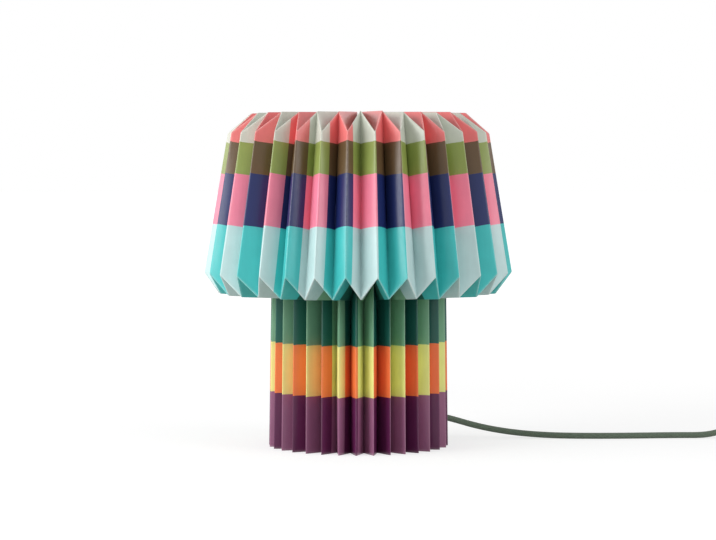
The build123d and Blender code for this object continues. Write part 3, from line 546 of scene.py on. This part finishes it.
def paper_sheet(name, first, last, first_station, inner, outer, slot, notch=False, trim=0):
    """A folded sheet of card as a closed mesh: its outer side, its inner side and its cut edges."""
    grid, folds, length, wear = sheet_grid(first, last, first_station)
    if trim:
        middle = slice(trim, -trim)
        grid, length, wear = grid[:, middle], length[:, middle], wear[:, middle]
        folds = folds[middle]
    rows, columns = length.shape
    outside, inside = offset_grid(grid, outer), offset_grid(grid, inner)
    outside[-1, :, 2] = inside[-1, :, 2] = grid[-1, :, 2]
    points = np.concatenate([outside.reshape(-1, 3), inside.reshape(-1, 3)])
    kept = np.ones((rows - 1, columns - 1), bool)
    if notch:
        near = np.abs((folds[:-1] + folds[1:]) / 2 - NOTCH_FOLD) < 0.5
        low = grid[1:, :-1, 2] < NOTCH_HEIGHT
        kept[low & near[None, :]] = False
    half = rows * columns

    def at(i, j, side):
        return side * half + i * columns + j

    faces, kinds = [], []
    for i in range(rows - 1):
        for j in range(columns - 1):
            if kept[i, j]:
                faces.append((at(i, j, 0), at(i + 1, j, 0), at(i + 1, j + 1, 0), at(i, j + 1, 0)))
                kinds.append(PRINTED_SIDE)
    for i in range(rows - 1):
        for j in range(columns - 1):
            if kept[i, j]:
                faces.append((at(i, j, 1), at(i, j + 1, 1), at(i + 1, j + 1, 1), at(i + 1, j, 1)))
                kinds.append(BARE_SIDE)
                sides = (((-1, 0), (i, j + 1), (i, j)), ((1, 0), (i + 1, j), (i + 1, j + 1)),
                         ((0, -1), (i, j), (i + 1, j)), ((0, 1), (i + 1, j + 1), (i, j + 1)))
                for (di, dj), a, b in sides:
                    m, n = i + di, j + dj
                    if not (0 <= m < rows - 1 and 0 <= n < columns - 1 and kept[m, n]):
                        faces.append((at(*b, 0), at(*a, 0), at(*a, 1), at(*b, 1)))
                        kinds.append(CUT_EDGE)
    piece = add_mesh(name, points, faces, slot, "paper_body")
    mesh = piece.data
    mesh.materials.append(FINISHES["plain_paper"])
    mesh.polygons.foreach_set("material_index", [0 if k == PRINTED_SIDE else 1 for k in kinds])
    edges = set()
    for face, kind in zip(faces, kinds):
        if kind == CUT_EDGE:
            edges.update(frozenset((face[k], face[(k + 1) % 4])) for k in range(4))
    sharp = mesh.attributes.new("sharp_edge", "BOOLEAN", "EDGE")
    sharp.data.foreach_set("value", [frozenset(e.vertices) in edges for e in mesh.edges])
    if slot == "printed_paper":
        layer = mesh.uv_layers.new(name="print")
        column = (folds[None, :] - slip(folds[None, :], length)).reshape(-1)
        table = np.stack([column, length.reshape(-1)], axis=1)
        corner = np.zeros(len(mesh.loops), int)
        mesh.loops.foreach_get("vertex_index", corner)
        layer.uv.foreach_set("vector", table[corner % half].astype(np.float32).ravel())
        # Wear along the folds, with a painted highlight on the ridges, for the printed side's colour.
        values = mesh.attributes.new("wear", "FLOAT", "POINT")
        values.data.foreach_set("value", np.tile(wear.reshape(-1), 2).astype(np.float32))
    bm = bmesh.new()
    bm.from_mesh(mesh)
    bmesh.ops.delete(bm, geom=[v for v in bm.verts if not v.link_faces], context="VERTS")
    bm.to_mesh(mesh)
    bm.free()
    return piece


# ---- The paper's four sheets and the strips behind their seams ----

SHEETS = ("front", "right", "rear", "left")
SHEET_FOLDS = FOLDS // len(SHEETS)
STRIP_TRIM = 4
for count, side in enumerate(SHEETS):
    start = SHEET_FOLDS * count - SHEET_FOLDS // 2
    if side == "left":
        start -= FOLDS
    sheet = paper_sheet(f"paper_sheet_{side}", start, start + SHEET_FOLDS, 0, -CARD / 2, CARD / 2,
                        "printed_paper", notch=side == "right")
    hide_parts(f"paper_{side}")
    strip = paper_sheet(f"seam_strip_{side}", start - 1, start + 1, 1, -CARD * 1.5 - GLUE,
                        -CARD / 2 - GLUE, "plain_paper", trim=STRIP_TRIM)
    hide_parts("seam_strips")


# ---- Tubes, cords and turned pieces ----

def frames_along(path, closed=False):
    """A steady pair of cross directions at each point of a path."""
    path = np.asarray(path, float)
    if closed:
        heading = np.roll(path, -1, axis=0) - np.roll(path, 1, axis=0)
    else:
        heading = np.gradient(path, axis=0)
    heading /= np.linalg.norm(heading, axis=1, keepdims=True)
    seed = np.array([0.0, 0.0, 1.0])
    if abs(heading[0] @ seed) > 0.9:
        seed = np.array([1.0, 0.0, 0.0])
    side = np.cross(heading[0], seed)
    side /= np.linalg.norm(side)
    sides = []
    for direction in heading:
        side = side - direction * (side @ direction)
        side /= np.linalg.norm(side)
        sides.append(side)
    sides = np.array(sides)
    return sides, np.cross(heading, sides)


def ring_faces(rings, sides, closed=False, caps=False, flip=False):
    """Faces of a skin over rings of points, from each ring to the next, and over the two ends."""
    faces = []
    for i in range(rings if closed else rings - 1):
        n = (i + 1) % rings
        for j in range(sides):
            k = (j + 1) % sides
            a, b, c, d = i * sides + j, i * sides + k, n * sides + k, n * sides + j
            faces.append((a, d, c, b) if flip else (a, b, c, d))
    if caps:
        last = (rings - 1) * sides
        faces.append(tuple(range(sides - 1, -1, -1)))
        faces.append(tuple(range(last, last + sides)))
    return faces


def tube(name, path, radius, slot, body="stand", sides=20, closed=False):
    """A round tube along a path, with a map that wraps it and runs along it in metres."""
    path = np.asarray(path, float)
    count = len(path)
    across, up = frames_along(path, closed)
    angle = np.arange(sides) * 2 * math.pi / sides
    ring = across[:, None, :] * np.cos(angle)[None, :, None] + up[:, None, :] * np.sin(angle)[None, :, None]
    points = (path[:, None, :] + ring * radius).reshape(-1, 3)
    steps = np.linalg.norm(np.diff(path, axis=0, append=path[:1]), axis=1)
    run = np.concatenate([[0.0], np.cumsum(steps)])
    faces = ring_faces(count, sides, closed, caps=not closed)
    marks = []
    for i in range(count if closed else count - 1):
        for j in range(sides):
            marks += [(j / sides, run[i]), ((j + 1) / sides, run[i]), ((j + 1) / sides, run[i + 1]),
                      (j / sides, run[i + 1])]
    if not closed:
        marks += [(0.5, run[0])] * sides + [(0.5, run[count - 1])] * sides
    piece = add_mesh(name, points, faces, slot, body)
    layer = piece.data.uv_layers.new(name="wrap")
    layer.uv.foreach_set("vector", np.array(marks, np.float32).ravel())
    return piece


def spline_points(points, resolution):
    """Points along the smooth line that has the route's points as its control points."""
    curve = bpy.data.curves.new("route", "CURVE")
    curve.dimensions = "3D"
    curve.resolution_u = resolution
    spline = curve.splines.new("NURBS")
    spline.points.add(len(points) - 1)
    for knot, point in zip(spline.points, points):
        knot.co = (*point, 1.0)
    spline.order_u = 3
    spline.use_endpoint_u = True
    holder = bpy.data.objects.new("route", curve)
    bpy.context.collection.objects.link(holder)
    bpy.context.view_layer.update()
    line = bpy.data.meshes.new_from_object(holder.evaluated_get(bpy.context.evaluated_depsgraph_get()))
    found = np.array([v.co for v in line.vertices])
    bpy.data.objects.remove(holder)
    bpy.data.meshes.remove(line)
    return found


def turned(name, start, direction, profile, slot, sides=40, closed=True):
    """A piece turned about an axis, from (distance, radius) points along it."""
    start, direction = np.asarray(start, float), np.asarray(direction, float)
    direction = direction / np.linalg.norm(direction)
    seed = np.array([0.0, 0.0, 1.0]) if abs(direction[2]) < 0.9 else np.array([1.0, 0.0, 0.0])
    across = np.cross(direction, seed)
    across /= np.linalg.norm(across)
    up = np.cross(direction, across)
    angle = np.arange(sides) * 2 * math.pi / sides
    ring = across[None, :] * np.cos(angle)[:, None] + up[None, :] * np.sin(angle)[:, None]
    points = np.concatenate([start + direction * d + ring * r for d, r in profile])
    faces = ring_faces(len(profile), sides, closed, flip=True)
    return add_mesh(name, points, faces, slot)


RELIEF = 20 * MM
RELIEF_WIDE = 5 * MM
RELIEF_NARROW = 3.6 * MM
RELIEF_BORE = 3.02 * MM
RELIEF_WALL = 0.35 * MM
RIBS = 5
# (share of a rib's pitch, depth in millimetres) along one rib and its groove.
RIB_FORM = ((0.0, 0.75), (0.3, 0.8), (0.42, 0.08), (0.5, 0.0), (0.92, 0.0), (1.0, 0.1))


def relief(name, start, direction):
    """A ribbed tapered sleeve that keeps the cord from a sharp bend, wide end first."""
    profile = [(0.0, RELIEF_BORE), (0.0, RELIEF_WIDE - 0.4 * MM), (0.4 * MM, RELIEF_WIDE),
               (2.4 * MM, RELIEF_WIDE)]
    begin, end = 3.0 * MM, RELIEF - 2.6 * MM
    pitch = (end - begin) / RIBS
    for rib in range(RIBS):
        low = begin + rib * pitch
        for share, depth in RIB_FORM:
            at = low + share * pitch
            radius = RELIEF_WIDE + (RELIEF_NARROW - RELIEF_WIDE) * at / RELIEF
            profile.append((at, max(radius - depth * MM, RELIEF_BORE + RELIEF_WALL)))
    profile += [(RELIEF - 2.2 * MM, RELIEF_NARROW + 0.05 * MM), (RELIEF - 0.4 * MM, RELIEF_NARROW),
                (RELIEF, RELIEF_NARROW - 0.35 * MM), (RELIEF, RELIEF_BORE)]
    return turned(name, start, direction, profile, "rubber")


# ---- Mains cord ----

CORD_R = 3.0 * MM
EXIT_AZIMUTH = NOTCH_FOLD * HALF_PLEAT + BASE_TURN
EXIT = polar(EXIT_AZIMUTH, 1.0, 0.0)
EXIT_HEIGHT = np.array([0.0, 0.0, 28 * MM])
HUB_FACE = 28 * MM
SWITCH_IN = np.array([400.0, 56.0, 7.5]) * MM
SWITCH_OUT = np.array([458.0, 56.0, 7.5]) * MM
ALONG_X = np.array([1.0, 0.0, 0.0])
# The points that the free cord is led by, in millimetres.
LAMP_CORD = [
    (60.5, 29.9, 28.0), (84.0, 42.0, 23.2), (119.0, 56.0, 11.5), (152.0, 58.5, 5.5), (187.0, 55.0, 3.0),
    (225.0, 49.5, 3.0), (270.0, 51.5, 3.0), (315.0, 57.0, 3.0), (345.0, 56.3, 3.0), (362.0, 56.0, 7.5),
]
RUN_CORD = [(498.0, 56.0, 7.5), (518.8, 44.0, 3.4), (533.8, 18.0, 3.65), (533.8, -11.0, 3.65)]
COIL_OUT_R, COIL_PITCH, COIL_TURNS, COIL_CLIMB = 44.0, 6.5, 6, 0.5
COIL_CENTRE = (RUN_CORD[-1][0] - COIL_OUT_R, RUN_CORD[-1][1], RUN_CORD[-1][2])
POINTS_PER_TURN = 24
# Into how many steps the smooth lines divide each stretch between two points of a route.
LAMP_STEPS = 22
FAR_STEPS = 6


def coil_point(turns):
    """A point of the coil: in on the lower layer, up a layer, and out again, clockwise from above."""
    radius = COIL_OUT_R - COIL_PITCH * min(turns, COIL_TURNS - turns)
    climbed = min(max(0.0, (turns - COIL_TURNS / 2) / COIL_CLIMB + 0.5), 1.0)
    angle = -2 * math.pi * turns
    return (COIL_CENTRE[0] + radius * math.cos(angle), COIL_CENTRE[1] + radius * math.sin(angle),
            COIL_CENTRE[2] + COIL_PITCH * climbed)


lamp_route = np.array([EXIT * (HUB_FACE + RELIEF) + EXIT_HEIGHT, *(np.array(LAMP_CORD) * MM),
                       SWITCH_IN - ALONG_X * RELIEF])
coil_route = [coil_point(i / POINTS_PER_TURN) for i in range(1, COIL_TURNS * POINTS_PER_TURN + 1)]
coil_end = coil_route[-1]
tail = [(coil_end[0] + 0.3, coil_end[1] - 10.0, 9.6), (coil_end[0] + 1.5, coil_end[1] - 20.0, 7.6),
        (coil_end[0] + 2.0, coil_end[1] - 30.0, 7.0), (coil_end[0] + 2.0, coil_end[1] - 36.0, 7.0)]
far_route = np.array([SWITCH_OUT + ALONG_X * RELIEF, *(np.array([*RUN_CORD, *coil_route, *tail]) * MM)])
PLUG_AXIS = np.array(tail[-1]) * MM

lamp_line = spline_points(lamp_route, LAMP_STEPS)
far_line = spline_points(far_route, FAR_STEPS)
cord_to_switch = tube("cord_to_switch", lamp_line, CORD_R, "textile")
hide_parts("cord_lamp")
cord_to_plug = tube("cord_to_plug", far_line, CORD_R, "textile")
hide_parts("cord_run", "cord_coil")


def line_length(points):
    return float(np.linalg.norm(np.diff(points, axis=0), axis=1).sum())


print("cord lengths", round(line_length(lamp_line), 4), round(line_length(far_line), 4))

hub_relief = relief("hub_relief", EXIT * HUB_FACE + EXIT_HEIGHT, EXIT)
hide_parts("cord_relief")
switch_relief_in = relief("switch_relief_in", SWITCH_IN, -ALONG_X)
switch_relief_out = relief("switch_relief_out", SWITCH_OUT, ALONG_X)
for piece in (switch_relief_in, switch_relief_out):
    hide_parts("switch_reliefs")
plug_back = PLUG_AXIS - np.array([0, RELIEF, 0])
plug_sleeve = relief("plug_sleeve", plug_back, (0, 1, 0))
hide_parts("plug_relief")


# ---- The string through the closed top ----

STRING_RING_R = 26.0 * MM
STRING_HEIGHT = 307.2 * MM
STRAND = 0.33 * MM
STRAND_REACH = STRAND * 1.06
STRANDS = 3
TWISTS = 46
POINTS_PER_TWIST = 10


def ply(route, strand):
    """One strand of a twisted string that follows a closed route."""
    across, up = frames_along(route, closed=True)
    turn = np.linspace(0, 2 * math.pi * TWISTS, len(route), endpoint=False)
    turn = turn + 2 * math.pi * strand / STRANDS
    return route + (across * np.cos(turn)[:, None] + up * np.sin(turn)[:, None]) * STRAND_REACH


ring_azimuth = np.linspace(0, 360, TWISTS * POINTS_PER_TWIST, endpoint=False)
ring_route = polar(ring_azimuth, STRING_RING_R, np.full(len(ring_azimuth), STRING_HEIGHT)).T
for strand in range(STRANDS):
    piece = tube(f"top_string_ply_{strand + 1}", ply(ring_route, strand), STRAND, "string", "paper_body",
                 sides=8, closed=True)
    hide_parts("top_string")

# The knot is three wraps around the string, and the two ends stand out of it.
KNOT_AZIMUTH = 33 * HALF_PLEAT + SHADE_TURN
KNOT_WRAPS = 3
POINTS_PER_WRAP = 14
KNOT_R = 1.15 * MM
KNOT_LENGTH = 2.6 * MM
KNOT_STRING_R = 0.5 * MM
END_STEPS = (1.2, 2.4, 3.6, 4.8)


def knot_end(point, way):
    """Points of an end that rises out of the knot and bends over."""
    out = polar(KNOT_AZIMUTH, 1.0, 0.0)
    aside = polar(KNOT_AZIMUTH + 90, 1.0, 0.0) * way
    return [point + (out * 0.8 * k + aside * 0.25 * k + np.array([0, 0, 0.9 * k - 0.12 * k * k])) * MM
            for k in END_STEPS]


share = np.linspace(0, 1, KNOT_WRAPS * POINTS_PER_WRAP + 1)
knot_azimuth = KNOT_AZIMUTH + np.degrees((share - 0.5) * KNOT_LENGTH / STRING_RING_R)
knot_turn = share * KNOT_WRAPS * 2 * math.pi
knot_radius = STRING_RING_R + KNOT_R * np.cos(knot_turn)
knot_height = STRING_HEIGHT + KNOT_R * np.sin(knot_turn)
knot_route = polar(knot_azimuth, knot_radius, knot_height).T
knot_line = np.array([*knot_end(knot_route[0], -1)[::-1], *knot_route, *knot_end(knot_route[-1], 1)])
knot = tube("top_string_knot", knot_line, KNOT_STRING_R, "string", "paper_body", sides=8)
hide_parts("top_string")


# ---- Felt under the base ----

PAD_SIDES = 120
pad_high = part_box("base_pad")[1]
PAD_R, PAD_HOLE_R = pad_high[0], 8.95 * MM
angle = np.arange(PAD_SIDES) * 2 * math.pi / PAD_SIDES
# (radius, height, how ragged the cut is in millimetres) round the section of the pad.
PAD_SECTION = [
    (PAD_HOLE_R, 0.0, 0.05), (PAD_R * 0.35, 0.0, 0.0), (PAD_R * 0.7, 0.0, 0.0),
    (PAD_R - 0.5 * MM, 0.0, 0.12), (PAD_R - 0.15 * MM, 0.5 * MM, 0.15), (PAD_R - 0.1 * MM, 1.2 * MM, 0.15),
    (PAD_R - 0.3 * MM, pad_high[2], 0.12), (PAD_R * 0.7, pad_high[2], 0.0), (PAD_HOLE_R, pad_high[2], 0.05),
]
rings = []
for radius, height, ragged in PAD_SECTION:
    rough = radius - random.uniform(0, ragged, PAD_SIDES) * MM
    rings.append(np.stack([rough * np.cos(angle), rough * np.sin(angle), np.full(PAD_SIDES, height)], axis=1))
pad_faces = ring_faces(len(rings), PAD_SIDES, closed=True, flip=True)
felt_pad = add_mesh("felt_pad", np.concatenate(rings), pad_faces, "felt")
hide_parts("base_pad")


# ---- Plug ----

PLUG_LENGTH = 36 * MM
PLUG_HALF_WIDTH = 17.5 * MM
PLUG_BACK_HALF_WIDTH = 8 * MM
PLUG_HALF_THICKNESS = 6.85 * MM
PLUG_RIM = 1.4 * MM
PLUG_SIDES = 72
GRIPS = 5
GRIP_DEPTH = 0.7 * MM
GRIPS_FROM, GRIPS_TO = 0.12, 0.62
SWELL_TO = 0.6
SQUARE_BACK, SQUARE_FRONT = 3.2, 5.4
WAIST_DEPTH = 1.0 * MM
WAIST_AT, WAIST_REACH = 0.42, 0.2
PARTING_LINE = 0.5 * MM
PARTING_SWELL = 1.012
PIN_SPACING = 18.6 * MM
PIN_SLEEVE = 10 * MM
PIN_SIDES = 28
# (distance from the plug's face, radius) in millimetres: the insulating sleeve, the bare pin and its tip.
PIN_PROFILE = [
    (-2.0, 0.0), (-2.0, 1.8), (0.0, 1.8), (9.8, 1.8), (10.0, 1.82), (10.05, 2.0), (17.6, 2.0),
    (18.3, 1.75), (18.8, 1.2), (19.0, 0.6), (19.0, 0.0),
]


def plug_section(along):
    """Half width, half thickness and squareness of the plug's section at a share of its length."""
    swell = min(1.0, along / SWELL_TO)
    swell = swell * swell * (3 - 2 * swell)
    half_width = PLUG_BACK_HALF_WIDTH + (PLUG_HALF_WIDTH - PLUG_BACK_HALF_WIDTH) * swell
    if GRIPS_FROM < along < GRIPS_TO:
        share = (along - GRIPS_FROM) / (GRIPS_TO - GRIPS_FROM)
        half_width -= GRIP_DEPTH * math.sin(math.pi * GRIPS * share) ** 2
    waist = math.exp(-(((along - WAIST_AT) / WAIST_REACH) ** 2))
    half_thickness = PLUG_HALF_THICKNESS - WAIST_DEPTH * waist
    return half_width, half_thickness, SQUARE_BACK + (SQUARE_FRONT - SQUARE_BACK) * swell


def plug_body_mesh():
    """The moulded body: flat, waisted towards the cord, with grips on its shoulders and eased rims."""
    steps = [PLUG_RIM / PLUG_LENGTH * (1 - math.cos(a)) for a in np.linspace(0, math.pi / 2, 5)]
    alongs = steps + list(np.linspace(0.07, 0.93, 44)) + [1 - a for a in reversed(steps)]
    angle = np.arange(PLUG_SIDES) * 2 * math.pi / PLUG_SIDES
    points = []
    for along in alongs:
        half_width, half_thickness, square = plug_section(along)
        inside = min(along, 1 - along) * PLUG_LENGTH
        inset = PLUG_RIM - math.sqrt(max(0.0, PLUG_RIM ** 2 - max(0.0, PLUG_RIM - inside) ** 2))
        c, t = np.cos(angle), np.sin(angle)
        x = np.sign(c) * np.abs(c) ** (2 / square) * (half_width - inset)
        z = np.sign(t) * np.abs(t) ** (2 / square) * (half_thickness - inset)
        # A parting line runs round the middle of the edge.
        x = x * np.where(np.abs(z) < PARTING_LINE, PARTING_SWELL, 1.0)
        points.append(np.stack([PLUG_AXIS[0] + x, np.full(PLUG_SIDES, plug_back[1] - along * PLUG_LENGTH),
                                PLUG_AXIS[2] + z], axis=1))
    faces = ring_faces(len(points), PLUG_SIDES, caps=True)
    return add_mesh("plug_moulding", np.concatenate(points), faces, "switch_plastic")


plug_moulding = plug_body_mesh()
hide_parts("plug_body")

for side, word in ((-1, "near"), (1, "far")):
    foot = (PLUG_AXIS[0] + side * PIN_SPACING / 2, plug_back[1] - PLUG_LENGTH, PLUG_AXIS[2])
    profile = [(d * MM, r * MM) for d, r in PIN_PROFILE]
    pin = turned(f"plug_pin_{word}", foot, (0, -1, 0), profile, "nickel", PIN_SIDES, closed=False)
    pin.data.materials.append(FINISHES["nylon"])
    sleeve = [1 if p.center[1] > foot[1] - PIN_SLEEVE else 0 for p in pin.data.polygons]
    pin.data.polygons.foreach_set("material_index", sleeve)
    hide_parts("plug_pins")


# ---- Strap around the coil ----

STRAP = 0.5 * MM
STRAP_HALF_WIDTH = 4 * MM
STRAP_CLEAR = CORD_R + 0.06 * MM + STRAP / 2
STRAP_LAP_HEIGHT = STRAP * 1.15
CORNER_POINTS = 9
# (across, through) shares round the strap's section, whose edges are eased.
STRAP_SECTION = [
    (-1.0, -0.25), (-0.97, -0.5), (-0.4, -0.5), (0.4, -0.5), (0.97, -0.5), (1.0, -0.25),
    (1.0, 0.25), (0.97, 0.5), (0.4, 0.5), (-0.4, 0.5), (-0.97, 0.5), (-1.0, 0.25),
]


def strap_path():
    """Middle line of the strap round the coil's cords, in x and z, with its end laid over its start."""
    low, high = COIL_CENTRE[2], COIL_CENTRE[2] + COIL_PITCH
    left = COIL_CENTRE[0] - (COIL_OUT_R - 0.5 * COIL_PITCH)
    right = COIL_CENTRE[0] - (COIL_OUT_R - (COIL_TURNS / 2 - 0.5) * COIL_PITCH)
    line = []
    corners = [(right, high, 90, 0), (right, low, 0, -90), (left, low, -90, -180), (left, high, 180, 90)]
    for x, z, start, end in corners:
        for degrees in np.linspace(start, end, CORNER_POINTS):
            line.append((x * MM + STRAP_CLEAR * math.cos(math.radians(degrees)),
                         z * MM + STRAP_CLEAR * math.sin(math.radians(degrees))))
    corner, top = line[-1]
    width = (right - left) * MM
    for share in np.linspace(0.1, 0.8, 8):
        climb = min(1.0, share / 0.25)
        line.append((corner + width * share, top + STRAP_LAP_HEIGHT * climb * climb * (3 - 2 * climb)))
    start = (line[0][0] - width * 0.75, line[0][1])
    return np.array([start, *line])


def strap_mesh():
    """A flat woven strap that follows the path."""
    path = strap_path()
    heading = np.gradient(path, axis=0)
    heading /= np.linalg.norm(heading, axis=1, keepdims=True)
    out = np.stack([-heading[:, 1], heading[:, 0]], axis=1)
    sides = len(STRAP_SECTION)
    steps = np.linalg.norm(np.diff(path, axis=0), axis=1)
    runs = np.concatenate([[0.0], np.cumsum(steps)])
    points = []
    for (x, z), (out_x, out_z) in zip(path, out):
        for across, through in STRAP_SECTION:
            points.append((x + out_x * through * STRAP, COIL_CENTRE[1] * MM + across * STRAP_HALF_WIDTH,
                           z + out_z * through * STRAP))
    marks = []
    for i in range(len(path) - 1):
        for j in range(sides):
            a = STRAP_SECTION[j][0] * STRAP_HALF_WIDTH
            b = STRAP_SECTION[(j + 1) % sides][0] * STRAP_HALF_WIDTH
            marks += [(a, runs[i]), (b, runs[i]), (b, runs[i + 1]), (a, runs[i + 1])]
    marks += [(0.0, 0.0)] * sides + [(0.0, runs[-1])] * sides
    faces = ring_faces(len(path), sides, caps=True)
    strap = add_mesh("coil_strap", points, faces, "tie")
    layer = strap.data.uv_layers.new(name="wrap")
    layer.uv.foreach_set("vector", np.array(marks, np.float32).ravel())
    return strap


coil_strap = strap_mesh()
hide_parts("coil_tie")


# ---- Lamps, world and floor ----

LAMP_TARGET = (0, 0, 0.18)
LAMP_SIZE = 1.2
WORLD_LIGHT = 0.5
FLOOR_REACH = 30.0
# The floor as it is seen: how grey it is under the lamps, and how it glows, near the object and away from it.
FLOOR_GREY = 0.45
GLOW_FROM, GLOW_TO = 0.5, 3.0
GLOW_NEAR, GLOW_AWAY = 0.66, 0.9


def soft_lamp(name, place, power):
    """A square lamp that faces the middle of the object."""
    lamp = bpy.data.objects.new(name, bpy.data.lights.new(name, "AREA"))
    bpy.context.collection.objects.link(lamp)
    lamp.data.size = LAMP_SIZE
    lamp.data.energy = power
    lamp.location = place
    lamp.rotation_euler = (Vector(LAMP_TARGET) - Vector(place)).to_track_quat("-Z", "Y").to_euler()


def seen_rays(tree):
    """1 for a ray from the camera, from a gloss or through glass, and 0 for light on the object."""
    path = tree.nodes.new("ShaderNodeLightPath")
    total = path.outputs["Is Camera Ray"]
    for name in ("Is Glossy Ray", "Is Transmission Ray"):
        join = tree.nodes.new("ShaderNodeMath")
        join.operation = "MAXIMUM"
        tree.links.new(total, join.inputs[0])
        tree.links.new(path.outputs[name], join.inputs[1])
        total = join.outputs[0]
    return total


def white_world():
    """White where it is seen, and an even light on the object."""
    world = bpy.context.scene.world or bpy.data.worlds.new("studio")
    bpy.context.scene.world = world
    world.use_nodes = True
    tree = world.node_tree
    tree.nodes.clear()
    light = tree.nodes.new("ShaderNodeBackground")
    light.inputs["Color"].default_value = (1, 1, 1, 1)
    light.inputs["Strength"].default_value = WORLD_LIGHT
    white = tree.nodes.new("ShaderNodeBackground")
    white.inputs["Color"].default_value = (1, 1, 1, 1)
    white.inputs["Strength"].default_value = 1.0
    mix = tree.nodes.new("ShaderNodeMixShader")
    out = tree.nodes.new("ShaderNodeOutputWorld")
    tree.links.new(seen_rays(tree), mix.inputs[0])
    tree.links.new(light.outputs[0], mix.inputs[1])
    tree.links.new(white.outputs[0], mix.inputs[2])
    tree.links.new(mix.outputs[0], out.inputs["Surface"])


def white_floor():
    """A pale floor that is seen as white, apart from the object's shadow."""
    mesh = bpy.data.meshes.new("floor")
    corners = [(x * FLOOR_REACH, y * FLOOR_REACH, 0) for x, y in ((-1, -1), (1, -1), (1, 1), (-1, 1))]
    mesh.from_pydata(corners, [], [(0, 1, 2, 3)])
    floor = bpy.data.objects.new("floor", mesh)
    bpy.context.collection.objects.link(floor)
    f = Finish("floor")
    f.tree.nodes.remove(f.surface)
    plain = f.node("BsdfDiffuse", {"Color": srgb(228, 228, 226)})
    shaded = f.node("BsdfDiffuse", {"Color": (FLOOR_GREY, FLOOR_GREY, FLOOR_GREY, 1)})
    away = f.node("VectorMath", {0: f.place()}, operation="LENGTH").outputs["Value"]
    strength = f.spread(away, GLOW_FROM, GLOW_TO, GLOW_NEAR, GLOW_AWAY)
    glow = f.node("Emission", {"Color": (1, 1, 1, 1), "Strength": strength})
    seen = f.node("AddShader")
    f.tree.links.new(shaded.outputs[0], seen.inputs[0])
    f.tree.links.new(glow.outputs[0], seen.inputs[1])
    mix = f.node("MixShader")
    f.tree.links.new(seen_rays(f.tree), mix.inputs[0])
    f.tree.links.new(plain.outputs[0], mix.inputs[1])
    f.tree.links.new(seen.outputs[0], mix.inputs[2])
    f.tree.links.new(mix.outputs[0], f.tree.nodes["Material Output"].inputs["Surface"])
    mesh.materials.append(f.material)


soft_lamp("key", (-2.0, -1.15, 0.8), 30)
soft_lamp("side", (-2.3, 0.0, 0.8), 17)
soft_lamp("fill", (2.0, -1.15, 0.8), 17)
white_world()
white_floor()
bpy.context.scene.view_settings.view_transform = "Standard"


# ---- Finishes of the pieces that keep their CAD shape ----

SLOTS = {part["node"]: part["material_slot"] for part in frame["record"]["subparts"]}
THREADED = {"stem_tube": STEM_THREAD, "holder_skirt": SKIRT_THREAD}
for name, node in frame["nodes"].items():
    if node.hide_render:
        continue
    material = THREADED.get(name, FINISHES.get(SLOTS[name]))
    if material is not None:
        for holder in node.material_slots:
            holder.material = material
